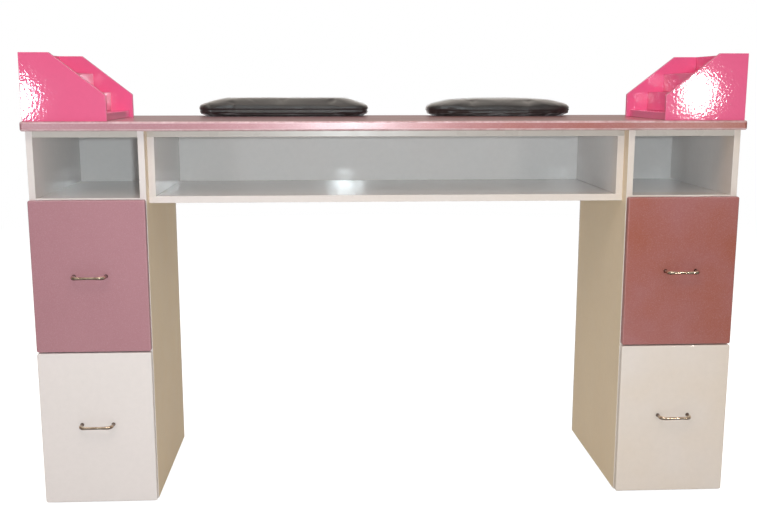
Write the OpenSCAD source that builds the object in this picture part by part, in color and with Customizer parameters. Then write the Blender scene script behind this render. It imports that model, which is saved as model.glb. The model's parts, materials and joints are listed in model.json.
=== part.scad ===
// Double-pedestal manicure table with polish racks and wrist cushions, in millimetres.
// X runs along the table, +Y points to the client's side, +Z is up. The drawers face -Y.
// The origin is on the floor, under the middle of the table's outer box.

/* [Table] */
// Length of the table top
top_w = 1450; // [1300:10:1700]
// Depth of the table top, front to back
top_d = 400; // [380:5:460]
// Thickness of the table top
top_t = 19; // [16:1:25]
// Height of the top's upper surface above the floor
table_h = 800; // [760:5:860]
// How far the top stands out past each pedestal's outer side
side_overhang = 4; // [2:1:20]
// How far the top stands out in front of the drawer fronts
front_overhang = 6; // [2:1:12]
// Radius of the top's corners, seen from above
top_corner_r = 6; // [2:1:12]

/* [Pedestals] */
// Width of one pedestal
ped_w = 232; // [220:2:300]
// Depth of one pedestal, from the drawer fronts to the rear of its back panel
ped_d = 384; // [382:1:386]
// Thickness of the pedestals' boards
board_t = 13; // [12:1:15]
// Thickness of the pedestals' back panels
back_t = 5; // [3:1:6]
// Clear height of the open cubby at the top of each pedestal
cubby_h = 121; // [100:1:150]
// Height of the glides under the pedestals
glide_h = 6; // [4:1:8]
// Diameter of the glides
glide_dia = 17; // [14:1:22]

/* [Centre shelf box] */
// Thickness of the centre box's boards
box_t = 14; // [12:1:16]
// How far the centre box stands back behind the drawer fronts
box_setback = 46; // [30:1:80]

/* [Drawers] */
// Thickness of a drawer front
front_t = 16; // [15:1:18]
// Gap between a drawer front and the pedestal's front edges
front_gap = 1; // [0.5:0.5:2]
// Gap between the upper and the lower drawer front
fronts_gap = 2.5; // [2:0.5:4]
// Height of the lower drawer front
lower_front_h = 323; // [300:1:330]
// Radius of the drawer fronts' corners
front_corner_r = 4; // [2:1:6]
// Thickness of the drawer box's side and end boards
drawer_board_t = 12; // [10:1:12]
// Thickness of the drawer bottom
drawer_bottom_t = 5; // [3:1:6]
// Height of the drawer box
drawer_h = 230; // [150:10:230]
// Length of the drawer box
drawer_l = 350; // [300:10:350]

/* [Handles] */
// Distance between a handle's two screws
handle_pitch = 64; // [64:32:96]
// How far a handle stands out from the drawer front
handle_out = 26; // [22:1:32]
// Diameter of the handle's bar
handle_dia = 6; // [5:0.5:8]
// Height of the lower handle above the middle of its front
lower_handle_rise = 9; // [0:1:40]
// Height of the upper handle above the middle of its front
upper_handle_rise = 2; // [0:1:40]

/* [Runners] */
// Height of the outer channel of a telescopic runner
runner_h = 35; // [30:1:45]
// Thickness of the runner's sheet steel
runner_t = 1.2; // [1:0.1:1.5]
// Height of the runners' centre line above the drawer box's lower edge
runner_rise = 80; // [60:5:120]

/* [Polish racks] */
// Length of a rack along the table
rack_w = 164; // [140:2:200]
// Depth of a rack
rack_d = 270; // [240:5:290]
// Height of a rack
rack_h = 133; // [110:1:160]
// Height of the short inner end of a rack's side panels
rack_low_h = 50; // [40:1:60]
// Length of the flat part on top of a rack's side panels
rack_flat_w = 58; // [40:1:80]
// Thickness of the rack's boards
rack_t = 9; // [6:1:10]
// Height from one step of a rack to the next
step_rise = 40; // [35:1:42]
// Height of the lowest step
first_step_h = 15; // [12:1:20]

/* [Wrist cushions] */
// Length of the left cushion
left_cushion_w = 386; // [300:2:420]
// Length of the right cushion
right_cushion_w = 334; // [300:2:420]
// Depth of a cushion
cushion_d = 98; // [80:2:120]
// Height of a cushion
cushion_h = 42; // [30:1:60]

/* [Hidden] */
LEFT = -1;
RIGHT = 1;
LOWER = 0;
UPPER = 1;
SIDES = [LEFT, RIGHT];
LEVELS = [LOWER, UPPER];
side_name = function(side) side == LEFT ? "left" : "right";
drawer_name = function(side, level) str(side_name(side), level == LOWER ? "_lower_" : "_upper_");

SIDE_PARTS = ["_outer_side", "_inner_side", "_bottom_panel", "_cubby_shelf", "_back_panel",
    "_rack_side_panels", "_rack_steps", "_rack_back_board", "_wrist_cushion"];
DRAWER_PARTS = ["drawer_front", "drawer_sides", "drawer_ends", "drawer_bottom", "handle",
    "drawer_screws", "drawer_runners", "middle_runners"];

eps = 0.01;
round_fn = 48;

// Depth positions: the drawer fronts' outer faces lie at y_face.
y_face = handle_out - (handle_out + top_d - front_overhang) / 2;
y_top_front = y_face - front_overhang;
y_carcass = y_face + front_t + front_gap;
y_back_panel = y_face + ped_d - back_t;

// Positions across the table, for the right-hand pedestal
x_out = top_w / 2 - side_overhang;
x_in = x_out - ped_w;
x_mid = (x_in + x_out) / 2;
inner_w = ped_w - 2 * board_t;

// Heights
z_top = table_h - top_t;
z_cubby_top = z_top - board_t;
z_cubby = z_cubby_top - cubby_h;
front_margin = 1.5;
shelf_reveal = 2.5;
z_lower_front = glide_h + front_margin;
z_upper_front = z_lower_front + lower_front_h + fronts_gap;
upper_front_h = z_cubby - shelf_reveal - z_upper_front;
front_w = ped_w - 1;

// Drawer box
runner_gap = 13;
box_w = inner_w - 2 * runner_gap;
drawer_in_w = box_w - 2 * drawer_board_t;
lower_box_lift = 28;
upper_box_lift = 15;
groove_depth = 5;
groove_rise = 10;
bottom_play = 0.2;
runner_l = drawer_l - 2;

// Fasteners
screw_play = 0.05;
handle_screw_r = 2;
front_screw_r = 1.75;
assembly_screw_r = 2;
rack_screw_r = 1.5;
dowel_r = 3;
dowel_in_side = 8;
dowel_in_panel = 16;
dowel_end_play = 0.3;
DOWEL_YS = [y_carcass + 50, y_back_panel - 50];
TOP_SCREW_XS = [x_in + 50, x_out - 50];
TOP_SCREW_YS = [y_carcass + 80, y_back_panel - 80];
BOX_SCREW_XS = [x_in / 3, x_in * 0.85];

// Rack steps: where each riser's front face stands, measured from the rack's inner end
RISER_XS = [8, 47, 83];
glue_line = 0.1;

// Cushions
cushion_lift = 0.4;
cushion_rear_gap = 8;
left_cushion_x = -224;
right_cushion_x = 272;

front_z = function(level) level == LOWER ? z_lower_front : z_upper_front;
front_h = function(level) level == LOWER ? lower_front_h : upper_front_h;
handle_z = function(level)
    front_z(level) + front_h(level) / 2 + (level == LOWER ? lower_handle_rise : upper_handle_rise);
box_z = function(level) front_z(level) + (level == LOWER ? lower_box_lift : upper_box_lift);
runner_z = function(level) box_z(level) + runner_rise;

// Draws a right-hand part on the given side of the table.
module on_side(side) {
    mirror([side == LEFT ? 1 : 0, 0, 0]) children();
}

// Draws a part made for x > 0 on both sides of a pedestal's own centre plane.
module both_walls() {
    translate([x_mid, 0, 0]) {
        children();
        mirror([1, 0, 0]) children();
    }
}

// A box given by its two opposite corners.
module block(low, high) {
    translate(low) cube(high - low);
}

// A flat outline with round corners, centred on the origin.
module rounded_outline(w, h, r) {
    square([w, h - 2 * r], center = true);
    square([w - 2 * r, h], center = true);
    for (x = [-1, 1], y = [-1, 1])
        translate([x * (w / 2 - r), y * (h / 2 - r)]) circle(r = r, $fn = round_fn);
}

// A cylinder along +Y from the given point.
module rod_y(at, r, l) {
    translate(at) rotate([-90, 0, 0]) cylinder(r = r, h = l, $fn = round_fn);
}

// A cylinder along +X from the given point.
module rod_x(at, r, l) {
    translate(at) rotate([0, 90, 0]) cylinder(r = r, h = l, $fn = round_fn);
}

// A pan-head screw pointing up, with its head's bearing face at z = 0.
module screw_up(r, l) {
    translate([0, 0, -r * 1.1]) cylinder(r = r * 1.9, h = r * 1.1, $fn = round_fn);
    cylinder(r = r, h = l, $fn = round_fn);
}

// ---- Table top ----

top_screw_into_top = 12;

// Screws that hold the top: up through the pedestals' top panels and the centre box's top.
module top_fixing_points() {
    for (x = TOP_SCREW_XS, y = TOP_SCREW_YS) translate([x, y, 0]) children();
}
module box_fixing_points() {
    for (x = BOX_SCREW_XS, y = TOP_SCREW_YS) translate([x, y, 0]) children();
}

rack_screw_head_h = rack_screw_r * 1.1;
rack_screw_into_rack = 25;
RACK_SCREW_XS = [x_out - 30, x_out - rack_w + 30];
rack_y = y_face + 2;
RACK_SCREW_YS = [rack_y + rack_t / 2, rack_y + rack_d - rack_t / 2];

// Screws that hold a rack, sunk into the underside of the table top.
module rack_fixing_points() {
    for (x = RACK_SCREW_XS, y = RACK_SCREW_YS)
        translate([x, y, z_top + rack_screw_head_h + 0.5]) children();
}

module table_top() {
    color("rosybrown") difference() {
        translate([0, y_top_front + top_d / 2, z_top])
            linear_extrude(top_t) rounded_outline(top_w, top_d, top_corner_r);
        for (side = SIDES) on_side(side) {
            top_fixing_points() translate([0, 0, z_top - eps])
                cylinder(r = assembly_screw_r + screw_play, h = top_screw_into_top + 1, $fn = round_fn);
            box_fixing_points() translate([0, 0, z_top - eps])
                cylinder(r = assembly_screw_r + screw_play, h = top_screw_into_top + 1, $fn = round_fn);
            rack_fixing_points() {
                cylinder(r = rack_screw_r + screw_play, h = top_t, $fn = round_fn);
                translate([0, 0, -rack_screw_head_h - 1])
                    cylinder(r = rack_screw_r * 1.9 + 0.2, h = rack_screw_head_h + 1, $fn = round_fn);
            }
        }
    }
}

// ---- Pedestals ----

// The pairs of dowel holes of one horizontal panel, whose lower face is at z.
module dowel_pair(z, from_x, r, l) {
    for (y = DOWEL_YS) rod_x([from_x, y, z + board_t / 2], r, l);
}

PANEL_ZS = [glide_h, z_cubby - board_t, z_cubby_top];

// Both ends' dowel holes or dowels of the three horizontal panels.
module panel_dowels(r, play) {
    l = dowel_in_side + dowel_in_panel - 2 * play;
    for (z = PANEL_ZS) {
        dowel_pair(z, x_in + board_t - dowel_in_side + play, r, l);
        dowel_pair(z, x_out - board_t - dowel_in_panel + play, r, l);
    }
}

BOX_JOINT_YS = [y_carcass + 100, y_back_panel - 100];
z_box_joint = z_cubby + 60;
box_joint_l = board_t + 10;

module side_board(x) {
    difference() {
        block([x, y_carcass, glide_h], [x + board_t, y_back_panel, z_top]);
        panel_dowels(dowel_r + screw_play, 0);
        for (y = BOX_JOINT_YS)
            rod_x([x_in - 1, y, z_box_joint], assembly_screw_r + screw_play, board_t + 2);
    }
}

module outer_side(side) {
    color("snow") on_side(side) side_board(x_out - board_t);
}

module inner_side(side) {
    color("snow") on_side(side) side_board(x_in);
}

module horizontal_panel(z) {
    difference() {
        block([x_in + board_t, y_carcass, z], [x_out - board_t, y_back_panel, z + board_t]);
        panel_dowels(dowel_r + screw_play, 0);
        children();
    }
}

module bottom_panel(side) {
    color("snow") on_side(side) horizontal_panel(glide_h)
        glide_points() cylinder(r = glide_nail_r + screw_play, h = glide_nail_l + 1, $fn = round_fn);
}

module cubby_shelf(side) {
    color("snow") on_side(side) horizontal_panel(z_cubby - board_t);
}

module pedestal_top_panels() {
    color("snow") for (side = SIDES) on_side(side) horizontal_panel(z_cubby_top)
        top_fixing_points() translate([0, 0, z_cubby_top - 1])
            cylinder(r = assembly_screw_r + screw_play, h = board_t + 2, $fn = round_fn);
}

module back_panel(side) {
    color("snow") on_side(side)
        block([x_in, y_back_panel, glide_h], [x_out, y_back_panel + back_t, z_top]);
}

glide_nail_r = 1.2;
glide_nail_l = 10;
glide_inset = 20;

module glide_points() {
    for (x = [x_in + glide_inset, x_out - glide_inset], y = [y_carcass + 25, y_back_panel - 25])
        translate([x, y, glide_h]) children();
}

module glides() {
    color("silver") for (side = SIDES) on_side(side) glide_points() {
        translate([0, 0, -glide_h]) cylinder(d1 = glide_dia - 3, d2 = glide_dia, h = 2, $fn = round_fn);
        translate([0, 0, 2 - glide_h]) cylinder(d = glide_dia, h = glide_h - 2, $fn = round_fn);
        cylinder(r = glide_nail_r, h = glide_nail_l, $fn = round_fn);
    }
}

module carcass_dowels() {
    color("burlywood") for (side = SIDES) on_side(side) panel_dowels(dowel_r, dowel_end_play);
}

// ---- Centre shelf box ----

y_box = y_face + box_setback;
y_box_rear = y_face + ped_d;
z_box = z_cubby - box_t;
z_box_top = z_top - box_t;

module centre_box_top() {
    color("snow") difference() {
        block([-x_in, y_box, z_box_top], [x_in, y_box_rear, z_top]);
        for (side = SIDES) on_side(side) box_fixing_points() translate([0, 0, z_box_top - 1])
            cylinder(r = assembly_screw_r + screw_play, h = box_t + 2, $fn = round_fn);
    }
}

module centre_box_bottom() {
    color("snow") block([-x_in, y_box, z_box], [x_in, y_box_rear, z_cubby]);
}

module centre_box_sides() {
    color("snow") for (side = SIDES) on_side(side) difference() {
        block([x_in - box_t, y_box, z_cubby], [x_in, y_box_rear, z_box_top]);
        for (y = BOX_JOINT_YS)
            rod_x([x_in - 11, y, z_box_joint], assembly_screw_r + screw_play, 12);
    }
}

module centre_box_back() {
    color("snow") block([box_t - x_in, y_box_rear - box_t, z_cubby], [x_in - box_t, y_box_rear, z_box_top]);
}

module assembly_screws() {
    color("silver") for (side = SIDES) on_side(side) {
        top_fixing_points() translate([0, 0, z_cubby_top])
            screw_up(assembly_screw_r, board_t + top_screw_into_top);
        box_fixing_points() translate([0, 0, z_box_top])
            screw_up(assembly_screw_r, box_t + top_screw_into_top);
        for (y = BOX_JOINT_YS) translate([x_in + board_t, y, z_box_joint]) rotate([0, -90, 0])
            screw_up(assembly_screw_r, box_joint_l);
        rack_fixing_points() screw_up(rack_screw_r, top_t - rack_screw_head_h - 0.5 + rack_screw_into_rack);
    }
}

// ---- Polish racks ----

x_rack_in = x_out - rack_w;

module rack_outline() {
    polygon([[x_rack_in, table_h], [x_out, table_h], [x_out, table_h + rack_h],
        [x_out - rack_flat_w, table_h + rack_h], [x_rack_in, table_h + rack_low_h]]);
}

module rack_side_panels(side) {
    color("hotpink") on_side(side) difference() {
        for (y = [rack_y, rack_y + rack_d - rack_t])
            translate([0, y + rack_t, 0]) rotate([90, 0, 0]) linear_extrude(rack_t) rack_outline();
        rack_fixing_points()
            cylinder(r = rack_screw_r + screw_play, h = top_t + rack_screw_into_rack, $fn = round_fn);
    }
}

rack_inner_y = [rack_y + rack_t, rack_y + rack_d - rack_t];
step_z = function(i) table_h + first_step_h + i * step_rise;
riser_x = function(i) x_rack_in + RISER_XS[i];

// Each step is a riser board with a tread board behind it; the next riser stands on the tread.
// A glue line keeps the boards apart as separate solids.
module rack_steps(side) {
    color("deeppink") on_side(side) for (i = [0:2]) {
        foot_z = i == 0 ? table_h : step_z(i - 1) + glue_line;
        tread_end = i == 2 ? x_out - rack_t : riser_x(i + 1) + rack_t;
        block([riser_x(i), rack_inner_y[0], foot_z], [riser_x(i) + rack_t, rack_inner_y[1], step_z(i)]);
        block([riser_x(i) + rack_t + glue_line, rack_inner_y[0], step_z(i) - rack_t],
            [tread_end, rack_inner_y[1], step_z(i)]);
    }
}

module rack_back_board(side) {
    color("hotpink") on_side(side)
        block([x_out - rack_t, rack_inner_y[0], table_h], [x_out, rack_inner_y[1], table_h + rack_h]);
}

// ---- Wrist cushions ----

module cushion(x, w) {
    y = y_top_front + top_d - cushion_rear_gap - cushion_d / 2;
    belly = cushion_h * 0.4;
    translate([x, y, table_h + cushion_lift]) hull() {
        linear_extrude(1) rounded_outline(w - 16, cushion_d - 16, 34, $fn = 32);
        translate([0, 0, belly]) linear_extrude(1) rounded_outline(w, cushion_d, 40, $fn = 32);
        translate([0, 0, cushion_h - 1]) linear_extrude(1) rounded_outline(w - 50, cushion_d - 50, 20, $fn = 32);
    }
}

module wrist_cushion(side) {
    color("black")
        if (side == LEFT) cushion(left_cushion_x, left_cushion_w);
        else cushion(right_cushion_x, right_cushion_w);
}

// ---- Drawers ----

module handle_holes(level, y, l, r) {
    for (s = [-1, 1]) rod_y([x_mid + s * handle_pitch / 2, y, handle_z(level)], r, l);
}

// Screws that hold the front to the drawer box, one near each corner of the box's front board
module front_holes(level, y, l, r) {
    for (s = [-1, 1], z = [40, drawer_h - 25])
        rod_y([x_mid + s * (drawer_in_w / 2 - 18), y, box_z(level) + z], r, l);
}

y_box_board = y_face + front_t;
front_screw_in = 8;

module drawer_front(side, level) {
    color(level == UPPER ? "rosybrown" : "snow") on_side(side) difference() {
        translate([x_mid, y_face + front_t, front_z(level) + front_h(level) / 2]) rotate([90, 0, 0])
            linear_extrude(front_t) rounded_outline(front_w, front_h(level), front_corner_r);
        handle_holes(level, y_face - 1, front_t + 2, handle_screw_r + 0.25);
        front_holes(level, y_box_board - front_screw_in - 0.5, front_screw_in + 1, front_screw_r + screw_play);
    }
}

// The space that the drawer bottom takes up in the boards round it
module bottom_sheet(level, play) {
    w = drawer_in_w + 2 * groove_depth;
    z = box_z(level) + groove_rise;
    block([x_mid - w / 2 + play, y_box_board + drawer_board_t - groove_depth + play, z],
        [x_mid + w / 2 - play, y_box_board + drawer_l, z + drawer_bottom_t]);
}

module drawer_sides(side, level) {
    color("wheat") on_side(side) difference() {
        for (s = [-1, 1]) translate([x_mid + s * (box_w - drawer_board_t) / 2 - drawer_board_t / 2, y_box_board,
            box_z(level)]) cube([drawer_board_t, drawer_l, drawer_h]);
        bottom_sheet(level, 0);
    }
}

module drawer_ends(side, level) {
    w = drawer_in_w;
    z_back = box_z(level) + groove_rise + drawer_bottom_t;
    color("wheat") on_side(side) {
        difference() {
            block([x_mid - w / 2, y_box_board, box_z(level)],
                [x_mid + w / 2, y_box_board + drawer_board_t, box_z(level) + drawer_h]);
            bottom_sheet(level, 0);
            handle_holes(level, y_box_board - 1, drawer_board_t + 2, handle_screw_r + 0.25);
            front_holes(level, y_box_board - 1, drawer_board_t + 2, front_screw_r + screw_play);
        }
        block([x_mid - w / 2, y_box_board + drawer_l - drawer_board_t, z_back],
            [x_mid + w / 2, y_box_board + drawer_l, box_z(level) + drawer_h]);
    }
}

module drawer_bottom(side, level) {
    color("wheat") on_side(side) bottom_sheet(level, bottom_play);
}

handle_foot_r = 4;
handle_foot_h = 12;
handle_post_r = handle_dia / 2;
handle_screw_in = 9;

module handle(side, level) {
    bar_y = y_face - handle_out + handle_dia / 2;
    color("silver") on_side(side) difference() {
        union() {
            for (s = [-1, 1]) translate([x_mid + s * handle_pitch / 2, 0, handle_z(level)]) {
                translate([0, y_face, 0]) rotate([90, 0, 0])
                    cylinder(r1 = handle_foot_r, r2 = handle_post_r, h = handle_foot_h, $fn = round_fn);
                translate([0, bar_y, 0]) rotate([-90, 0, 0])
                    cylinder(r = handle_post_r, h = y_face - bar_y - handle_foot_h / 2, $fn = round_fn);
                translate([0, bar_y, 0]) sphere(r = handle_post_r, $fn = round_fn);
            }
            rod_x([x_mid - handle_pitch / 2, bar_y, handle_z(level)], handle_post_r, handle_pitch);
        }
        handle_holes(level, y_face - handle_screw_in - 0.3, handle_screw_in + 1, handle_screw_r + screw_play);
    }
}

module drawer_screws(side, level) {
    y_head = y_box_board + drawer_board_t;
    color("silver") on_side(side) {
        handle_holes(level, y_face - handle_screw_in, handle_screw_in + front_t + drawer_board_t, handle_screw_r);
        handle_holes(level, y_head, 2.4, 4);
        front_holes(level, y_box_board - front_screw_in, front_screw_in + drawer_board_t, front_screw_r);
        front_holes(level, y_head, 2, 3.5);
    }
}

// ---- Telescopic runners ----

// A channel of bent sheet: its web stands at x0 and its flanges reach to x1.
module channel(x0, x1, h, z) {
    web = x1 > x0 ? [x0, x0 + runner_t] : [x0 - runner_t, x0];
    flange = [min(x0, x1), max(x0, x1)];
    y = [y_carcass + 1, y_carcass + 1 + runner_l];
    block([web[0], y[0], z - h / 2], [web[1], y[1], z + h / 2]);
    for (s = [-1, 1]) {
        zf = z + s * (h - runner_t) / 2;
        block([flange[0], y[0], zf - runner_t / 2], [flange[1], y[1], zf + runner_t / 2]);
    }
}

// Distances from the pedestal's centre plane: the cabinet's wall and the drawer's side
wall_x = inner_w / 2;
drawer_x = box_w / 2;
middle_h = runner_h - 8;
drawer_channel_h = runner_h - 18;

module cabinet_runners() {
    color("gainsboro") for (side = SIDES, level = LEVELS) on_side(side) both_walls()
        channel(wall_x, wall_x - 9, runner_h, runner_z(level));
}

module middle_runners(side, level) {
    color("gainsboro") on_side(side) both_walls()
        channel(wall_x - 2.5, wall_x - 10.5, middle_h, runner_z(level));
}

module drawer_runners(side, level) {
    color("gainsboro") on_side(side) both_walls()
        channel(drawer_x, drawer_x + 8, drawer_channel_h, runner_z(level));
}

// ---- Nodes ----

table_top();
pedestal_top_panels();
centre_box_top();
centre_box_bottom();
centre_box_sides();
centre_box_back();
glides();
cabinet_runners();
carcass_dowels();
assembly_screws();

for (side = SIDES) {
    name = side_name(side);
    outer_side(side);
    inner_side(side);
    bottom_panel(side);
    cubby_shelf(side);
    back_panel(side);
    rack_side_panels(side);
    rack_steps(side);
    rack_back_board(side);
    wrist_cushion(side);
}

for (side = SIDES, level = LEVELS) {
    name = drawer_name(side, level);
    drawer_front(side, level);
    drawer_sides(side, level);
    drawer_ends(side, level);
    drawer_bottom(side, level);
    handle(side, level);
    drawer_screws(side, level);
    drawer_runners(side, level);
    middle_runners(side, level);
}
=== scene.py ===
"""Looks of the manicure table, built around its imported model.

The boards are recut with rounded, painted edges, the pulls are swept bars, and the two wrist cushions are stuffed by
cloth simulation. Runners, glides, screws and dowels stay as they were packed and only get a material.
"""

import json  # noqa: E402
import math  # noqa: E402

import bmesh  # noqa: E402
import bpy  # noqa: E402
import numpy as np  # noqa: E402
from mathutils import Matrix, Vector, noise  # noqa: E402
from mathutils.bvhtree import BVHTree  # noqa: E402

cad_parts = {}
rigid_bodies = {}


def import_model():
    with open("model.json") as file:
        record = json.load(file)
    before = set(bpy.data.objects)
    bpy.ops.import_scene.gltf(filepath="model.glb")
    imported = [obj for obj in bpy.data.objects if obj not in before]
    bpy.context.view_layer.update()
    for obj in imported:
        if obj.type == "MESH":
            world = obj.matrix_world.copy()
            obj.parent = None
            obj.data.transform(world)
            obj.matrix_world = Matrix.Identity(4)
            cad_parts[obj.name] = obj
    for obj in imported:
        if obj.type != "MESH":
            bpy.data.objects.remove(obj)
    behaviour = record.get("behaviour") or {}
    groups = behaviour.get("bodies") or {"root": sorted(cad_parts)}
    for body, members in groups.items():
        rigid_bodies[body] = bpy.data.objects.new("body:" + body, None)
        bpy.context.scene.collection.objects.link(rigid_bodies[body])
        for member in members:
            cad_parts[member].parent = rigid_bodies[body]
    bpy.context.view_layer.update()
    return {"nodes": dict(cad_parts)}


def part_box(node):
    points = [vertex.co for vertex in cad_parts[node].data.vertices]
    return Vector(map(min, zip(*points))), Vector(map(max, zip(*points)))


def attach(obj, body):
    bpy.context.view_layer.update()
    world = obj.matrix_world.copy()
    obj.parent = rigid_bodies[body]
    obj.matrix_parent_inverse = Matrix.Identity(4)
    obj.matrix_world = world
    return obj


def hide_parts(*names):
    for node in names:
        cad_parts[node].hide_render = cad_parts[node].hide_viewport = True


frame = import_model()
scene = bpy.context.scene
scene.view_settings.view_transform = "Standard"
MM = 0.001
FULL_TURN = 2 * math.pi
SIDES = ("left", "right")
LEVELS = ("lower", "upper")


# ---------------------------------------------------------------- camera and light

SENSOR_WIDTH = 36.0  # mm
FOCAL_LENGTH = 45.97  # mm
CAMERA_PLACE = (-0.1192, -2.1219, 0.8679)
CAMERA_DOWN = 10.16  # degrees below level
CAMERA_RIGHT = 2.848  # degrees to the right of +Y
COOL_WHITE = (0.9, 0.96, 1.0)
FLASH_WHITE = (0.86, 0.96, 1.0)
WARM_WHITE = (1.0, 0.92, 0.84)
LAMP_WHITE = (1.0, 0.86, 0.76)
CEILING_WHITE = (1.0, 0.97, 0.92)
ROOM_WHITE = (1.0, 0.93, 0.86, 1)
PLAIN_WHITE = (1, 1, 1, 1)


def aim(obj, at):
    """Turns a light so that it points at a place."""
    obj.rotation_euler = (Vector(at) - obj.location).to_track_quat("-Z", "Y").to_euler()


def soft_light(name, place, at, size, watts, colour, shape="ELLIPSE"):
    """One soft studio lamp, wide and high as size says."""
    data = bpy.data.lights.new(name, "AREA")
    data.shape = shape
    data.size, data.size_y = size
    data.energy = watts
    data.color = colour
    obj = bpy.data.objects.new(name, data)
    obj.location = place
    scene.collection.objects.link(obj)
    aim(obj, at)
    obj.visible_camera = False
    return obj


camera_data = bpy.data.cameras.new("camera")
camera_data.sensor_width = SENSOR_WIDTH
camera_data.lens = FOCAL_LENGTH
camera = bpy.data.objects.new("camera", camera_data)
camera.location = CAMERA_PLACE
camera.rotation_euler = (math.radians(90 - CAMERA_DOWN), 0, math.radians(-CAMERA_RIGHT))
scene.collection.objects.link(camera)
scene.camera = camera

# the side lamps make the highlights on the racks, the two flashes those on the top's edge and in the long shelf
soft_light("lamp_left", (-1.50, -2.6, 0.81), at=(-0.3, 0, 0.55), size=(0.17, 0.19), watts=4.5, colour=COOL_WHITE)
soft_light("lamp_right", (1.545, -2.6, 0.84), at=(0.3, 0, 0.55), size=(0.14, 0.19), watts=4, colour=WARM_WHITE)
for name, height in (("flash_upper", 0.90), ("flash_lower", 0.83)):
    soft_light(name, (-0.048, -2.13, height), at=(-0.05, 0, 0.6), size=(0.08, 0.035), watts=9, colour=FLASH_WHITE)
soft_light("lamp_front", (-0.45, -1.95, 2.4), at=(0, 0, 0.5), size=(1.1, 0.6), watts=11, colour=LAMP_WHITE,
           shape="RECTANGLE")
soft_light("lamp_above", (0, -0.6, 3.2), at=(0, 0, 0.4), size=(3.2, 2.4), watts=4, colour=CEILING_WHITE,
           shape="RECTANGLE")


def studio_room():
    """Plain white to the camera; as a light, a dim room in front, a paler backdrop behind and a bright ceiling."""
    world = bpy.data.worlds.new("studio")
    world.use_nodes = True
    tree = world.node_tree
    tree.nodes.clear()

    def fade(way, low, high, to_low, to_high):
        node = tree.nodes.new("ShaderNodeMapRange")
        node.interpolation_type = "SMOOTHSTEP"
        for slot, value in (("From Min", low), ("From Max", high), ("To Min", to_low), ("To Max", to_high)):
            node.inputs[slot].default_value = value
        tree.links.new(way, node.inputs["Value"])
        return node.outputs["Result"]

    where = tree.nodes.new("ShaderNodeTexCoord")
    split = tree.nodes.new("ShaderNodeSeparateXYZ")
    total = tree.nodes.new("ShaderNodeMath")
    seen = tree.nodes.new("ShaderNodeBackground")
    light = tree.nodes.new("ShaderNodeBackground")
    either = tree.nodes.new("ShaderNodeMixShader")
    path = tree.nodes.new("ShaderNodeLightPath")
    out = tree.nodes.new("ShaderNodeOutputWorld")
    seen.inputs["Color"].default_value = PLAIN_WHITE
    light.inputs["Color"].default_value = ROOM_WHITE
    tree.links.new(where.outputs["Generated"], split.inputs[0])
    tree.links.new(fade(split.outputs["Y"], -0.2, 0.6, 0.14, 0.36), total.inputs[0])
    tree.links.new(fade(split.outputs["Z"], 0.1, 0.8, 0.0, 0.46), total.inputs[1])
    tree.links.new(total.outputs[0], light.inputs["Strength"])
    tree.links.new(path.outputs["Is Camera Ray"], either.inputs[0])
    tree.links.new(light.outputs[0], either.inputs[1])
    tree.links.new(seen.outputs[0], either.inputs[2])
    tree.links.new(either.outputs[0], out.inputs["Surface"])
    return world


scene.world = studio_room()


# ---------------------------------------------------------------- materials

SPREAD = (0.3, 0.7)  # nearly all the values of a noise texture lie between these


def srgb(r, g, b):
    """A colour given on the 0 to 255 display scale, as a linear colour."""
    return tuple(((c / 255 + 0.055) / 1.055) ** 2.4 if c > 10 else c / 255 / 12.92 for c in (r, g, b)) + (1,)


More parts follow.
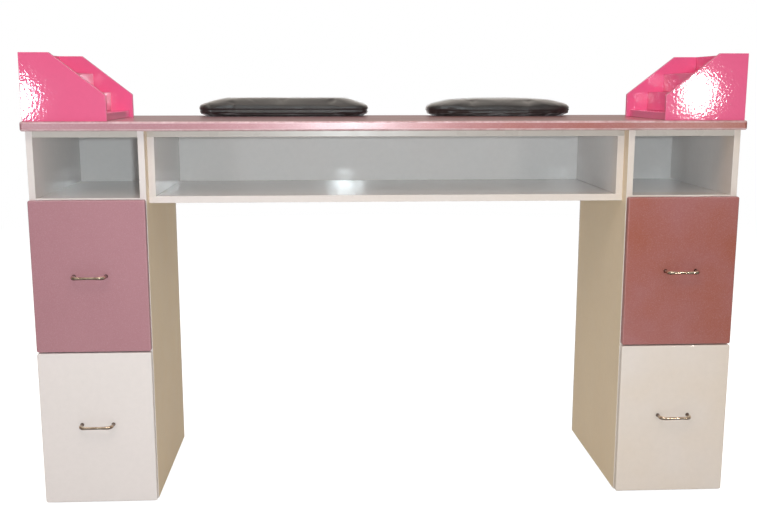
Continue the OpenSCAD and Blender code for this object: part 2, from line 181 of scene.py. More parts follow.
class Graph:
    """A material's node graph. Each method adds nodes and returns the output that carries the result."""

    def __init__(self, name):
        self.mat = bpy.data.materials.new(name)
        self.mat.use_nodes = True
        self.tree = self.mat.node_tree
        self.tree.nodes.clear()
        self.place = self.add("ShaderNodeTexCoord").outputs["Object"]

    def add(self, kind, inputs=None, **settings):
        node = self.tree.nodes.new(kind)
        for key, value in settings.items():
            setattr(node, key, value)
        for key, value in (inputs or {}).items():
            if isinstance(value, bpy.types.NodeSocket):
                self.tree.links.new(value, node.inputs[key])
            else:
                node.inputs[key].default_value = value
        return node

    def noise(self, size, detail=2.0, rough=0.5, stretch=None, seed=0.0):
        """Noise whose features are about size metres across."""
        where = self.place
        if stretch is not None:
            where = self.add("ShaderNodeVectorMath", {0: where, 1: stretch}, operation="MULTIPLY").outputs[0]
        spot = self.add("ShaderNodeVectorMath", {0: where, 1: (seed, seed * 0.7, seed * 1.3)}).outputs[0]
        wanted = {"Vector": spot, "Scale": 1 / size, "Detail": detail, "Roughness": rough}
        return self.add("ShaderNodeTexNoise", wanted).outputs["Fac"]

    def cells(self, size, out="Distance"):
        """Irregular cells about size metres across."""
        return self.add("ShaderNodeTexVoronoi", {"Vector": self.place, "Scale": 1 / size}).outputs[out]

    def remap(self, value, a, b, to_a=0.0, to_b=1.0):
        wanted = {"Value": value, "From Min": a, "From Max": b, "To Min": to_a, "To Max": to_b}
        return self.add("ShaderNodeMapRange", wanted).outputs["Result"]

    def maths(self, op, a, b):
        return self.add("ShaderNodeMath", {0: a, 1: b}, operation=op).outputs[0]

    def mix(self, a, b, share, mode="MIX"):
        return self.add("ShaderNodeMix", {0: share, 6: a, 7: b}, data_type="RGBA", blend_type=mode).outputs[2]

    def along(self, axis):
        """The place along one of the frame's axes."""
        return self.add("ShaderNodeSeparateXYZ", {0: self.place}).outputs[axis]

    def upward(self):
        """1 where the surface faces up, 0 where it stands upright and -1 where it faces down."""
        normal = self.add("ShaderNodeNewGeometry").outputs["Normal"]
        return self.add("ShaderNodeSeparateXYZ", {0: normal}).outputs["Z"]

    def attribute(self, name):
        return self.add("ShaderNodeAttribute", attribute_name=name).outputs["Fac"]

    def bump(self, height, distance, strength=1.0, under=None):
        inputs = {"Height": height, "Distance": distance, "Strength": strength}
        if under is not None:
            inputs["Normal"] = under
        return self.add("ShaderNodeBump", inputs).outputs["Normal"]

    def finish(self, **inputs):
        """Ends the graph in a Principled shader. base_color=... sets or links its Base Color, and so on."""
        names = {k.replace("_", " ").title().replace("Ior", "IOR"): v for k, v in inputs.items()}
        shader = self.add("ShaderNodeBsdfPrincipled", names)
        out = self.add("ShaderNodeOutputMaterial")
        self.tree.links.new(shader.outputs[0], out.inputs["Surface"])
        return self.mat


def lacquer(name, base, drift, edge, roughness, coat, coat_roughness, peel, metallic=0.0, flecks=0.0, right=None,
            painted_light_toward_back=None, specular=0.5):
    """Sprayed paint on board: broad drift of tone, fine mottle, orange peel, metal flecks, and paler edges that are
    partly wear and partly a painted highlight along the rounded arrises.

    peel is the orange peel's width and height. right is a tone painted toward the right end of the table as warmer,
    darker shade. The tone for the back, with the two Y between which it takes over, is painted shade inside the white
    boxes and painted light inside the pink racks.
    """
    g = Graph(name)
    cloud = g.remap(g.noise(0.22, 3.0, 0.55, seed=3.1), 0.34, 0.66)
    # painted shade: the tone turns warmer and darker toward the table's right end
    if right is not None:
        base = g.mix(base, right, g.remap(g.along("X"), -0.5, 0.5))
    # painted shade and light toward the back: darker and greyer inside the white boxes, brighter inside the pink racks
    if painted_light_toward_back is not None:
        tone, front_y, back_y = painted_light_toward_back
        base = g.mix(base, tone, g.remap(g.along("Y"), front_y, back_y))
    colour = g.mix(base, drift, g.maths("MULTIPLY", cloud, 0.55))
    mottle = g.remap(g.noise(0.012, 4.0, 0.6, seed=1.7), *SPREAD, 0.985, 1.012)
    grey = g.add("ShaderNodeCombineColor", {0: mottle, 1: mottle, 2: mottle}).outputs[0]
    colour = g.mix(colour, grey, 1.0, "MULTIPLY")
    if flecks:
        spark = g.remap(g.cells(0.0009, out="Color"), 0.62, 1.0, 0.0, flecks)
        colour = g.mix(colour, srgb(255, 236, 238), spark)
    # paler edges: partly wear, partly a painted highlight along the rounded arrises
    wear_and_highlight = g.remap(g.noise(0.02, 5.0, 0.7, seed=8.0), 0.35, 0.7, 0.35, 1.0)
    rim = g.maths("MULTIPLY", g.attribute("rim"), wear_and_highlight)
    colour = g.mix(colour, edge, g.maths("MULTIPLY", rim, 0.75))
    handled = g.noise(0.05, 4.0, 0.6, seed=5.0)
    shine = g.remap(handled, *SPREAD, roughness * 0.86, roughness * 1.16)
    peel_size, peel_height = peel
    normal = g.bump(g.noise(peel_size, 0.6, 0.4, seed=2.0), peel_height)
    return g.finish(base_color=colour, roughness=shine, metallic=metallic, specular_ior_level=specular,
                    coat_weight=coat, coat_roughness=coat_roughness, normal=normal, coat_normal=normal)


def leatherette(name):
    """Black upholstery vinyl: pebbled grain, faint creases, a sheen, and a painted grey sheen on the top seen edge on.
    """
    g = Graph(name)
    pebble = g.cells(0.0019)
    fine = g.cells(0.0007)
    crease = g.noise(0.03, 5.0, 0.65, stretch=(0.45, 1.0, 1.0), seed=6.0)
    tone = g.mix(srgb(24, 21, 20), srgb(38, 35, 33), g.remap(g.noise(0.06, 3.0, seed=9.0), *SPREAD))
    tone = g.mix(tone, srgb(13, 11, 11), g.remap(pebble, 0.35, 0.75, 0.0, 0.55))
    tone = g.mix(tone, srgb(58, 54, 50), g.remap(crease, 0.6, 0.8, 0.0, 0.35))
    # the rubbed upper side is glossier; a grey sheen is painted on its top where it is seen edge on
    upward = g.upward()
    rubbed = g.remap(upward, 0.3, 0.75)
    grazing = g.add("ShaderNodeLayerWeight", {"Blend": 0.5}).outputs["Facing"]
    painted_sheen = g.maths("MULTIPLY", g.remap(upward, 0.1, 0.65), g.remap(grazing, 0.1, 0.9))
    painted_sheen = g.maths("MULTIPLY", painted_sheen, g.remap(g.noise(0.05, 3.0, seed=4.0), *SPREAD, 0.35, 0.6))
    tone = g.mix(tone, srgb(190, 184, 174), painted_sheen)
    shine = g.remap(g.noise(0.025, 4.0, seed=2.5), *SPREAD, 0.36, 0.52)
    normal = g.bump(crease, 0.0007, 0.5)
    normal = g.bump(pebble, 0.00022, 0.8, under=normal)
    normal = g.bump(fine, 0.00006, 0.7, under=normal)
    return g.finish(base_color=tone, roughness=shine, sheen_weight=1.0, sheen_roughness=0.35, specular_ior_level=0.7,
                    coat_weight=rubbed, coat_ior=1.9, coat_roughness=0.36, normal=normal)


def thread(name, colour):
    """Twisted sewing thread."""
    g = Graph(name)
    twist = g.noise(0.0006, 2.0, stretch=(1.0, 1.0, 3.0))
    tone = g.mix(colour, srgb(20, 18, 18), g.remap(twist, 0.4, 0.7))
    return g.finish(base_color=tone, roughness=0.8, normal=g.bump(twist, 0.0001))


def plated(name, light, dark, roughness, brush=(1, 1, 1), foot=None):
    """Plated metal: faint brush marks, cloudy tarnish. foot is the two Y between which a pull gets painted shade at
    its feet; its downward faces get painted shade too.
    """
    g = Graph(name)
    marks = g.noise(0.0012, 3.0, 0.6, stretch=brush, seed=1.0)
    cloud = g.noise(0.012, 4.0, 0.6, seed=7.0)
    tone = g.mix(light, dark, g.remap(cloud, 0.42, 0.72))
    if foot is not None:
        # painted shade on the downward faces and at the feet next to the drawer
        painted_shade = g.maths("MAXIMUM", g.remap(g.upward(), 0.2, -0.5), g.remap(g.along("Y"), *foot))
        tone = g.mix(tone, srgb(64, 40, 34), g.maths("MULTIPLY", painted_shade, 0.85))
    shine = g.remap(marks, *SPREAD, roughness * 0.7, roughness * 1.5)
    return g.finish(base_color=tone, metallic=1.0, roughness=shine, normal=g.bump(marks, 4e-6, 0.6))


def spangled(name, light, dark, roughness):
    """Zinc coating with its crystal spangle."""
    g = Graph(name)
    spangle = g.cells(0.006, out="Color")
    tone = g.mix(light, dark, g.remap(spangle, 0.2, 0.9))
    dust = g.noise(0.004, 5.0, 0.7)
    tone = g.mix(tone, srgb(120, 116, 110), g.remap(dust, 0.55, 0.8, 0.0, 0.5))
    shine = g.remap(g.noise(0.003, 3.0, seed=2.0), *SPREAD, roughness * 0.8, roughness * 1.3)
    return g.finish(base_color=tone, metallic=1.0, roughness=shine, normal=g.bump(dust, 1e-5))


def beech(name):
    """Turned beech with short flecks along the grain."""
    g = Graph(name)
    rings = g.noise(0.0016, 3.0, 0.6, stretch=(0.12, 1.0, 1.0), seed=1.0)
    fleck = g.noise(0.0008, 2.0, 0.5, stretch=(0.3, 1.0, 1.0), seed=4.0)
    tone = g.mix(srgb(214, 178, 134), srgb(176, 132, 88), g.remap(rings, 0.35, 0.65))
    tone = g.mix(tone, srgb(120, 84, 52), g.remap(fleck, 0.62, 0.75, 0.0, 0.6))
    return g.finish(base_color=tone, roughness=0.6, normal=g.bump(rings, 6e-5))


def melamine(name, base, drift, grain):
    """Melamine-faced board: soft clouding, short printed fibres, fine pitted texture, chipped arrises."""
    g = Graph(name)
    cloud = g.remap(g.noise(0.18, 3.0, seed=2.2), 0.35, 0.65)
    tone = g.mix(base, drift, cloud)
    fibre = g.noise(0.004, 5.0, 0.65, stretch=(1.0, 1.0, 0.12), seed=4.4)
    tone = g.mix(tone, grain, g.remap(fibre, 0.52, 0.72, 0.0, 0.35))
    rim = g.maths("MULTIPLY", g.attribute("rim"), g.remap(g.noise(0.006, 5.0, 0.7), 0.5, 0.62))
    tone = g.mix(tone, srgb(196, 170, 138), g.maths("MULTIPLY", rim, 0.5))
    pit = g.noise(0.0009, 2.0, 0.5)
    shine = g.remap(g.noise(0.03, 4.0, seed=6.1), *SPREAD, 0.34, 0.46)
    return g.finish(base_color=tone, roughness=shine, normal=g.bump(pit, 1.5e-5))


def moulded(name, base, drift):
    """Moulded plastic with a fine spark-eroded texture and scuffs."""
    g = Graph(name)
    grain = g.noise(0.0006, 2.0, 0.5)
    scuff = g.noise(0.004, 5.0, 0.7, seed=3.0)
    tone = g.mix(base, drift, g.remap(scuff, 0.45, 0.7))
    return g.finish(base_color=tone, roughness=g.remap(scuff, *SPREAD, 0.42, 0.62), normal=g.bump(grain, 3e-5))


def pale_floor(name):
    """Pale studio paper: soft clouding near the table, fading into plain white light far away."""
    g = Graph(name)
    cloud = g.noise(0.8, 3.0, seed=1.0)
    tone = g.mix(srgb(204, 203, 201), srgb(198, 197, 195), g.remap(cloud, *SPREAD))
    away = g.add("ShaderNodeVectorMath", {0: g.place}, operation="LENGTH").outputs["Value"]
    seen = g.add("ShaderNodeLightPath").outputs["Is Camera Ray"]
    dull = g.remap(g.noise(0.05, 3.0), *SPREAD, 0.75, 0.85)
    grain = g.bump(g.noise(0.002, 2.0), 2e-5)
    paper = g.add("ShaderNodeBsdfPrincipled", {"Base Color": tone, "Roughness": dull, "Normal": grain})
    lift = g.add("ShaderNodeEmission", {"Color": PLAIN_WHITE, "Strength": g.maths("MULTIPLY", seen, 0.9)})
    near = g.add("ShaderNodeAddShader", {0: paper.outputs[0], 1: lift.outputs[0]})
    far = g.add("ShaderNodeEmission", {"Color": PLAIN_WHITE, "Strength": g.remap(seen, 0, 1, 0.22, 1.0)})
    fade = g.add("ShaderNodeMixShader", {0: g.remap(away, 1.6, 4.5), 1: near.outputs[0], 2: far.outputs[0]})
    out = g.add("ShaderNodeOutputMaterial")
    g.tree.links.new(fade.outputs[0], out.inputs["Surface"])
    return g.mat


# the right tone is painted shade, warmer and darker at the table's right end
MAUVE = {
    "base": srgb(184, 129, 139), "drift": srgb(178, 122, 132), "edge": srgb(250, 222, 228), "right": srgb(168, 88, 66),
    "roughness": 0.45, "metallic": 0.2, "flecks": 0.14, "peel": (0.006, 1.2e-5),
}
LOOKS = {
    "mauve_lacquer": lacquer("mauve_lacquer", coat=0.8, coat_roughness=0.16, **MAUVE),
    "mauve_top": lacquer("mauve_top", coat=1.0, coat_roughness=0.26, **MAUVE),
    # the white's right tone is painted warmer shade at the right end, its back tone painted shade inside the boxes and
    # cubbies
    "white_lacquer": lacquer(
        "white_lacquer", srgb(239, 230, 228), srgb(236, 228, 225), srgb(247, 240, 236), roughness=0.06, coat=0.0,
        coat_roughness=0.1, peel=(0.005, 6e-6), right=srgb(233, 219, 206), painted_light_toward_back=(srgb(232, 229, 227), -0.137, -0.09)),
    "cream_board": lacquer(
        "cream_board", srgb(246, 226, 195), srgb(241, 220, 189), srgb(250, 238, 218), roughness=0.4, coat=0.0,
        coat_roughness=0.15, peel=(0.0045, 1.5e-5)),
    # painted shade on the front edges of the boards right under the overhanging top
    "painted_shade_rail": lacquer(
        "painted_shade_rail", srgb(204, 197, 189), srgb(198, 191, 182), srgb(214, 206, 196), roughness=0.3, coat=0.0,
        coat_roughness=0.1, peel=(0.0045, 1e-5)),
    # the pink's back tone is painted light, brighter inside the racks
    "pink_gloss": lacquer(
        "pink_gloss", srgb(242, 104, 148), srgb(239, 110, 152), srgb(252, 150, 184), roughness=0.5, coat=1.0,
        coat_roughness=0.055, peel=(0.0045, 7e-5), specular=0.0, painted_light_toward_back=(srgb(255, 112, 166), -0.16, -0.08)),
    "black_leatherette": leatherette("black_leatherette"),
    "black_thread": thread("black_thread", srgb(44, 40, 38)),
    "bright_nickel": plated("bright_nickel", srgb(238, 222, 200), srgb(150, 120, 98), 0.1, (0.15, 1, 1),
                            foot=(-0.202, -0.194)),
    "grey_plastic": moulded("grey_plastic", srgb(150, 150, 150), srgb(122, 121, 118)),
    "zinc_steel": spangled("zinc_steel", srgb(196, 200, 206), srgb(150, 156, 164), 0.36),
    "screw_steel": plated("screw_steel", srgb(190, 190, 188), srgb(140, 138, 132), 0.3),
    "beech": beech("beech"),
    "drawer_board": melamine("drawer_board", srgb(226, 224, 219), srgb(216, 213, 206), srgb(196, 190, 180)),
}


# ---------------------------------------------------------------- shapes

def link(name, mesh, slot, body, look=None):
    """A new smooth piece on a body, with the look of its material slot unless another look is named."""
    obj = bpy.data.objects.new(name, mesh)
    scene.collection.objects.link(obj)
    mesh.materials.append(LOOKS[look or slot])
    mesh.polygons.foreach_set("use_smooth", [True] * len(mesh.polygons))
    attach(obj, body)
    return obj


def bridge(bm, rings):
    """Quads between each ring of vertices and the next."""
    for low, high in zip(rings, rings[1:]):
        count = len(low)
        for k in range(count):
            bm.faces.new((low[k], low[(k + 1) % count], high[(k + 1) % count], high[k]))


def outline(t, corner):
    """A point of a unit superellipse at the angle t. A larger corner gives squarer corners."""
    c, s = math.cos(t), math.sin(t)
    reach = (abs(c) ** corner + abs(s) ** corner) ** (-1 / corner)
    return c * reach, s * reach


def solids_of(node):
    """The corner points of each separate solid in a CAD node."""
    bm = bmesh.new()
    bm.from_mesh(frame["nodes"][node].data)
    bmesh.ops.remove_doubles(bm, verts=bm.verts, dist=1e-6)
    left, found = set(bm.verts), []
    for start in list(bm.verts):
        if start not in left:
            continue
        left.discard(start)
        todo, solid = [start], []
        while todo:
            vert = todo.pop()
            solid.append(vert.co.copy())
            for edge in vert.link_edges:
                other = edge.other_vert(vert)
                if other in left:
                    left.discard(other)
                    todo.append(other)
        found.append(solid)
    bm.free()
    return found


FLAT_ANGLE = math.radians(0.5)  # faces closer than this are one face
SHARP_ANGLE = math.radians(20)  # edges that turn more than this are rounded


def rounded_solid(points, radius, segments, edge_wear_and_highlight):
    """The solid board round these points, with every sharp edge rounded. The rounded faces carry the mark rim."""
    bm = bmesh.new()
    rim = bm.faces.layers.float.new("rim")
    bmesh.ops.convex_hull(bm, input=[bm.verts.new(p) for p in points])
    bmesh.ops.delete(bm, geom=[v for v in bm.verts if not v.link_faces], context="VERTS")
    bmesh.ops.recalc_face_normals(bm, faces=bm.faces)
    bmesh.ops.dissolve_limit(bm, angle_limit=FLAT_ANGLE, verts=bm.verts, edges=bm.edges)
    sharp = [e for e in bm.edges if e.is_manifold and e.calc_face_angle() > SHARP_ANGLE]
    made = bmesh.ops.bevel(bm, geom=sharp, offset=radius, offset_type="OFFSET", segments=segments, profile=0.5,
                           affect="EDGES", clamp_overlap=True)
    for face in made["faces"]:
        face[rim] = edge_wear_and_highlight
    return bm


def recut(node, slot, body, radius, segments=3, edge_wear_and_highlight=1.0, look=None):
    """Stands for a CAD node of plain boards: the same boards with softly rounded, painted edges."""
    name = node + "_finished"
    mesh = bpy.data.meshes.new(name)
    whole = bmesh.new()
    whole.faces.layers.float.new("rim")
    for points in solids_of(node):
        part = rounded_solid(points, radius, segments, edge_wear_and_highlight)
        part.to_mesh(mesh)
        part.free()
        whole.from_mesh(mesh)
    whole.to_mesh(mesh)
    whole.free()
    obj = link(name, mesh, slot, body, look)
    modifier = obj.modifiers.new("even_shading", "WEIGHTED_NORMAL")
    modifier.weight = 100
    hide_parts(node)
    return obj


def second_look(obj, look, chosen):
    """Gives the faces that chosen picks another look."""
    obj.data.materials.append(LOOKS[look])
    for face in obj.data.polygons:
        if chosen(face.normal):
            face.material_index = 1


def sweep(name, centres, radii, slot, body, sides=28):
    """A round bar of changing thickness along a line in the XY plane. radii holds the half sizes across and up."""
    bm = bmesh.new()
    rings = []
    last = len(centres) - 1
    for i, (centre, (across, up)) in enumerate(zip(centres, radii)):
        ahead = centres[min(i + 1, last)] - centres[max(i - 1, 0)]
        side = Vector((ahead.y, -ahead.x, 0)).normalized()
        ring = []
        for k in range(sides):
            a = FULL_TURN * k / sides
            ring.append(bm.verts.new(centre + side * (math.cos(a) * across) + Vector((0, 0, math.sin(a) * up))))
        rings.append(ring)
    bridge(bm, rings)
    bm.faces.new(rings[0])
    bm.faces.new(list(reversed(rings[-1])))
    bmesh.ops.recalc_face_normals(bm, faces=bm.faces)
    mesh = bpy.data.meshes.new(name)
    bm.to_mesh(mesh)
    bm.free()
    return link(name, mesh, slot, body)


# the profile of a pull, in mm; each row of the foot is a distance out from the drawer and a radius
FOOT = ((0.0, 4.0), (0.5, 4.0), (1.3, 3.9), (1.9, 3.35), (3.2, 3.1), (6.0, 3.1), (9.0, 3.2), (12.0, 3.35))
LEG_RADIUS = 3.35
SHOULDER_RADIUS = 3.1
SHOULDER_SWELL = 0.5
GRIP_RADIUS = 2.7
GRIP_SWELL = 0.4
GRIP_AXIS = 3.0  # from the front of the CAD pull to the middle of the grip
BEND_RADIUS = 11
BEND_STEPS = 14
GRIP_STATIONS = (0.12, 0.25, 0.4, 0.6, 0.8, 1.0)  # shares of the way from the bend to the middle


def bow_handle(node, body):
    """A bow pull: round feet with a collar, legs that thicken at the shoulder, a thin straight grip."""
    lo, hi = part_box(node)
    half = (hi.x - lo.x) / 2 - (hi.z - lo.z) / 2
    out = hi.y - (lo.y + GRIP_AXIS * MM)
    bend = BEND_RADIUS * MM
    line = [Vector((-half, -y * MM, 0)) for y, r in FOOT]
    size = [(r * MM, r * MM) for y, r in FOOT]
    for i in range(1, BEND_STEPS + 1):
        t = i / BEND_STEPS
        a = t * math.pi / 2
        r = (LEG_RADIUS * (1 - t) + SHOULDER_RADIUS * t) * MM
        line.append(Vector((-half + bend * (1 - math.cos(a)), -(out - bend) - bend * math.sin(a), 0)))
        size.append((r, r + SHOULDER_SWELL * MM * math.sin(math.pi * t)))
    for t in GRIP_STATIONS:
        r = (GRIP_RADIUS + GRIP_SWELL * (1 - t) ** 2) * MM
        line.append(Vector(((-half + bend) * (1 - t), -out, 0)))
        size.append((r, r))
    line += [Vector((-p.x, p.y, 0)) for p in reversed(line[:-1])]
    size += list(reversed(size[:-1]))
    origin = Vector(((lo.x + hi.x) / 2, hi.y, (lo.z + hi.z) / 2))
    obj = sweep(node + "_bow_pull", [origin + p for p in line], size, "bright_nickel", body)
    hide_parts(node)


# ---------------------------------------------------------------- cushions

SKIN_SLACK = 3 * MM  # the skin starts this much smaller all round
CROWN_SLACK = 4 * MM  # and this much lower besides
SKIN_SIDES = 120
CROWN_RINGS = 26
BASE_SHARES = (0.35, 0.65, 0.85)
BASE_TUCK = 0.012  # share that the sides pull in under the seam
VOXEL = 4.5 * MM
PRESSURE = 4.0
MOST_MOVE = 5 * MM
STUFFING_FRAMES = 20
FOOT_HEIGHT = 3.2 * MM  # what lies below this is flattened onto the table
FOOT_FLAT = 1.2 * MM
GROOVE_WIDTH = 1.7 * MM
LIP_WIDTH = 2.4 * MM
LIP_ABOVE, LIP_BELOW = 4.4 * MM, 4.2 * MM
LIP_SHARE = 0.45
PUCKER_WIDTH = 9 * MM
CREASE_HEIGHT = 0.55 * MM
STITCH_ABOVE = 2.6 * MM
STITCH_PITCH = 4.2 * MM
STITCH_LENGTH = 2.9 * MM
STITCH_RADIUS = 0.3 * MM
STITCH_ARCH, STITCH_SUNK = 0.22 * MM, 0.12 * MM
STITCH_RINGS, STITCH_SIDES = 5, 6
OUTLINE_POINTS = 2400


def shell(lo, hi, corner, seam, wall, rise):
    """A closed cushion form: a rounded plan, its widest line at the seam, a flat base and a crowned top."""
    centre = (lo + hi) / 2
    a, b = (hi.x - lo.x) / 2, (hi.y - lo.y) / 2
    bm = bmesh.new()
    rings = []

    def ring(share, z):
        made = []
        for k in range(SKIN_SIDES):
            x, y = outline(FULL_TURN * k / SKIN_SIDES, corner)
            made.append(bm.verts.new((centre.x + a * share * x, centre.y + b * share * y, z)))
        rings.append(made)

    for share in BASE_SHARES + (1 - BASE_TUCK,):
        ring(share, lo.z)
    for t in (0.35, 0.7, 1.0):
        ring(1 - BASE_TUCK * (1 - t) ** 2, lo.z + seam * t)
    ring(1, lo.z + wall)
    for i in range(1, CROWN_RINGS + 1):
        s = i / (CROWN_RINGS + 1)
        ring(1 - s, lo.z + wall + (hi.z - lo.z - wall) * rise(s))
    bridge(bm, rings)
    bm.faces.new(rings[0])
    bm.faces.new(rings[-1])
    bmesh.ops.recalc_face_normals(bm, faces=bm.faces)
    return bm


def points_of(mesh):
    return np.array([v.co for v in mesh.vertices])


def move_to(mesh, points):
    for vert, point in zip(mesh.vertices, points):
        vert.co = point
    mesh.update()


def inflate(obj):
    """Fills a thin skin like a stuffed cushion, no point moving further than MOST_MOVE."""
    for other in bpy.context.view_layer.objects:
        other.select_set(False)
    bpy.context.view_layer.objects.active = obj
    obj.select_set(True)
    remesh = obj.modifiers.new("even", "REMESH")
    remesh.mode = "VOXEL"
    remesh.voxel_size = VOXEL
    bpy.ops.object.modifier_apply(modifier="even")
    before = points_of(obj.data)
    cloth = obj.modifiers.new("stuffing", "CLOTH")
    settings = cloth.settings
    settings.mass = 0.25
    settings.quality = 6
    settings.tension_stiffness = 18
    settings.compression_stiffness = 14
    settings.shear_stiffness = 6
    settings.bending_stiffness = 0.3
    settings.use_pressure = True
    settings.uniform_pressure_force = PRESSURE
    settings.effector_weights.gravity = 0
    cloth.point_cache.frame_start = 1
    cloth.point_cache.frame_end = STUFFING_FRAMES
    for step in range(1, STUFFING_FRAMES + 1):
        scene.frame_set(step)
    bpy.ops.object.modifier_apply(modifier="stuffing")
    scene.frame_set(1)
    move = points_of(obj.data) - before
    length = np.linalg.norm(move, axis=1, keepdims=True)
    move *= np.minimum(1.0, MOST_MOVE / np.maximum(length, 1e-9))
    move_to(obj.data, before + move)
    divide = obj.modifiers.new("smooth", "SUBSURF")
    divide.levels = divide.render_levels = 1
    bpy.ops.object.modifier_apply(modifier="smooth")


def hump(distance, width):
    return np.exp(-((distance / width) ** 2))


def cushion(side, corner, seam, wall, rise, crease, pucker, seed):
    """A wrist cushion: stuffed skin, a stitched seam round its widest line, puckers along the seam."""
    node, body = f"{side}_wrist_cushion", f"{side}_cushion"
    lo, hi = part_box(node)
    centre = (lo + hi) / 2
    slack = Vector((SKIN_SLACK, SKIN_SLACK, 0))
    bm = shell(lo + slack, hi - slack - Vector((0, 0, CROWN_SLACK)), corner, seam, wall, rise)
    mesh = bpy.data.meshes.new(node + "_skin")
    bm.to_mesh(mesh)
    bm.free()
    obj = bpy.data.objects.new(node + "_stuffed", mesh)
    scene.collection.objects.link(obj)
    inflate(obj)
    mesh = obj.data

    # the stuffed skin fills the box of its CAD solid
    co = points_of(mesh)
    now_lo, now_hi = co.min(0), co.max(0)
    want_lo, want_hi = np.array(lo), np.array(hi)
    co = want_lo + (co - now_lo) / (now_hi - now_lo) * (want_hi - want_lo)

    # a flat underside where it rests, with a soft turn into the sides
    low = co[:, 2] < lo.z + FOOT_HEIGHT
    co[low, 2] = lo.z + np.maximum(0, (co[low, 2] - lo.z) - FOOT_FLAT) * 1.6
    move_to(mesh, co)

    # the seam's groove with its two lips, and the puckers and creases that run up from it
    normals = np.array([v.normal for v in mesh.vertices])
    a, b = (hi.x - lo.x) / 2, (hi.y - lo.y) / 2
    flat = (co[:, :2] - np.array(centre)[:2]) / np.array([a, b])
    angle = np.arctan2(flat[:, 1], flat[:, 0])
    reach = np.hypot(flat[:, 0], flat[:, 1])
    height = co[:, 2] - (lo.z + seam)
    outer = (reach > 0.55) & (np.abs(normals[:, 2]) < 0.93)
    lips = hump(height - LIP_ABOVE, LIP_WIDTH) + hump(height + LIP_BELOW, LIP_WIDTH)
    push = crease * (LIP_SHARE * lips - hump(height, GROOVE_WIDTH)) * outer
    near = hump(height, PUCKER_WIDTH) * outer
    for i, p in enumerate(co):
        wave = noise.noise(Vector((angle[i] * 9 + seed, flat[i, 0] * 14, seed)))
        push[i] += pucker * wave * near[i]
        fold = noise.noise(Vector((p[0] * 26 + seed, p[1] * 44, p[2] * 30)))
        push[i] += CREASE_HEIGHT * fold * (height[i] > 0)
    co += normals * push[:, None]
    move_to(mesh, np.minimum(np.maximum(co, want_lo), want_hi))

    mesh.materials.clear()
    mesh.materials.append(LOOKS["black_leatherette"])
    mesh.polygons.foreach_set("use_smooth", [True] * len(mesh.polygons))
    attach(obj, body)
    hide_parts(node)
    stitches(obj, node + "_stitching", body, centre, a, b, corner, lo.z + seam + STITCH_ABOVE)


def stitch_spots(skin, centre, a, b, corner, z):
    """Evenly spaced places on the skin round the height z, each with the skin's normal."""
    tree = BVHTree.FromObject(skin, bpy.context.evaluated_depsgraph_get())
    spots, last = [], None
    for k in range(OUTLINE_POINTS):
        x, y = outline(FULL_TURN * k / OUTLINE_POINTS, corner)
        far = Vector((centre.x + 1.3 * a * x, centre.y + 1.5 * b * y, z))
        inner = Vector((min(max(far.x, centre.x - a * 0.8), centre.x + a * 0.8), centre.y, z))
        hit, normal, _, _ = tree.ray_cast(far, (inner - far).normalized())
        if hit is not None and (last is None or (hit - last).length >= STITCH_PITCH):
            spots.append((hit, normal))
            last = hit
    return spots


def stitches(skin, name, body, centre, a, b, corner, z):
    """A row of short thread stitches sunk into the skin just above the seam."""
    spots = stitch_spots(skin, centre, a, b, corner, z)
    bm = bmesh.new()
    for i, (spot, normal) in enumerate(spots):
        run = spots[(i + 1) % len(spots)][0] - spot
        if run.length > 2 * STITCH_PITCH or run.length < 1e-5:
            continue
        run.normalize()
        side = normal.cross(run).normalized()
        rings = []
        for j in range(STITCH_RINGS):
            t = j / (STITCH_RINGS - 1)
            arch = math.sin(math.pi * t)
            at = spot + run * (t - 0.5) * STITCH_LENGTH + normal * (STITCH_ARCH * arch - STITCH_SUNK)
            r = STITCH_RADIUS * (0.45 + 0.55 * arch)
            turns = [FULL_TURN * m / STITCH_SIDES for m in range(STITCH_SIDES)]
            rings.append([bm.verts.new(at + (side * math.cos(q) + normal * math.sin(q)) * r) for q in turns])
        bridge(bm, rings)
        bm.faces.new(list(reversed(rings[0])))
        bm.faces.new(rings[-1])
    bmesh.ops.recalc_face_normals(bm, faces=bm.faces)
    mesh = bpy.data.meshes.new(name)
    bm.to_mesh(mesh)
    bm.free()
    link(name, mesh, "black_leatherette", body, look="black_thread")


# ---------------------------------------------------------------- the table

BODY = "table_frame"
TOP_EDGE = 4.0 * MM  # radii of the rounded edges
FRONT_EDGE = 2.6 * MM
BOARD_EDGE = 0.9 * MM
DRAWER_BOARD_EDGE = 0.6 * MM
THIN_EDGE = 0.5 * MM
FACING = 0.9  # a normal that comes this far along an axis faces it


def pedestal_side(side, board):
    """A pedestal side: cream board on its broad outer face, white on its edges and inside."""
    obj = recut(f"{side}_{board}", "white_lacquer", BODY, BOARD_EDGE)
    outward = 1 if (side == "left") == (board == "inner_side") else -1
    second_look(obj, "cream_board", lambda normal: normal.x * outward > FACING)


def under_top(node):
    """A board right under the table top, whose front edge gets a darker, duller tone as painted shade under the top's
    overhang.
    """
    second_look(recut(node, "white_lacquer", BODY, BOARD_EDGE), "painted_shade_rail", lambda normal: normal.y < -FACING)


def paint(node, look):
    """Gives a carried-over CAD node its material."""
    mesh = frame["nodes"][node].data
    if not mesh.materials:
        mesh.materials.append(LOOKS[look])
    for i in range(len(mesh.materials)):
        mesh.materials[i] = LOOKS[look]


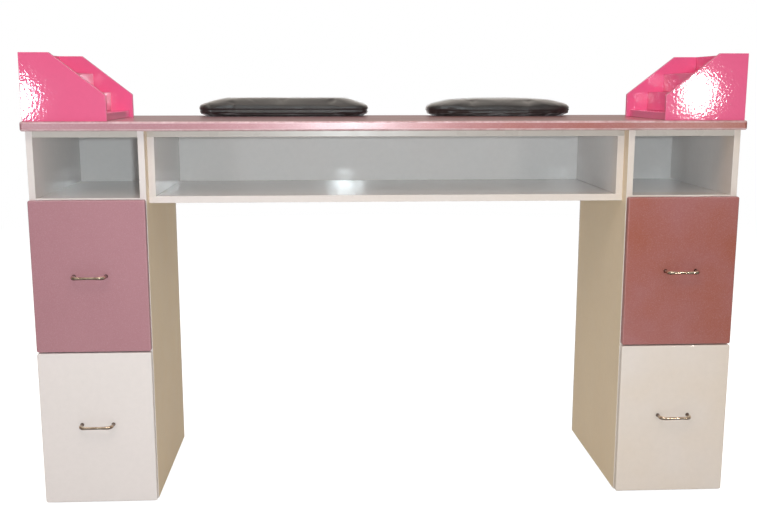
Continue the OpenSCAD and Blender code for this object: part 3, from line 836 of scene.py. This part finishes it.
recut("table_top", "mauve_lacquer", BODY, TOP_EDGE, 5, look="mauve_top")
for side in SIDES:
    for board in ("outer_side", "inner_side"):
        pedestal_side(side, board)
    for board in ("bottom_panel", "cubby_shelf"):
        recut(f"{side}_{board}", "white_lacquer", BODY, BOARD_EDGE)
    recut(f"{side}_back_panel", "white_lacquer", BODY, THIN_EDGE)
    for board in ("rack_side_panels", "rack_steps", "rack_back_board"):
        recut(f"{side}_{board}", "pink_gloss", BODY, BOARD_EDGE)
    for level in LEVELS:
        drawer = f"{side}_{level}_drawer"
        front = "mauve_lacquer" if level == "upper" else "white_lacquer"
        recut(drawer + "_front", front, drawer, FRONT_EDGE, 4, edge_wear_and_highlight=0.12)
        for board in ("sides", "ends", "bottom"):
            recut(f"{drawer}_{board}", "drawer_board", drawer, DRAWER_BOARD_EDGE, 2)
        bow_handle(f"{side}_{level}_handle", drawer)
under_top("pedestal_top_panels")
under_top("centre_box_top")
for board in ("bottom", "sides", "back"):
    recut(f"centre_box_{board}", "white_lacquer", BODY, BOARD_EDGE)

CARRIED_OVER = {"glides": "grey_plastic", "runners": "zinc_steel", "screws": "screw_steel", "dowels": "beech"}
for node in frame["nodes"]:
    for word, look in CARRIED_OVER.items():
        if word in node:
            paint(node, look)


def flat_crown(s):
    """A quick shoulder, then a top that is nearly flat."""
    return min(1.0, s / 0.28) ** 0.75 * (0.95 + 0.05 * s)


def round_crown(s):
    """A top that curves all the way."""
    return math.sqrt(1 - (1 - s) ** 2) ** 0.9


cushion("left", corner=5.5, seam=14 * MM, wall=22 * MM, rise=flat_crown, crease=1.3 * MM, pucker=0.8 * MM, seed=1.0)
cushion("right", corner=3.4, seam=11 * MM, wall=18 * MM, rise=round_crown, crease=0.7 * MM, pucker=0.5 * MM, seed=7.0)


# ---------------------------------------------------------------- the floor

FLOOR_REACH = 60.0
floor_corners = [(x * FLOOR_REACH, y * FLOOR_REACH, 0) for x, y in ((-1, -1), (1, -1), (1, 1), (-1, 1))]
floor_mesh = bpy.data.meshes.new("floor")
floor_mesh.from_pydata(floor_corners, [], [(0, 1, 2, 3)])
floor_mesh.materials.append(pale_floor("pale_floor"))
floor = bpy.data.objects.new("floor", floor_mesh)
scene.collection.objects.link(floor)
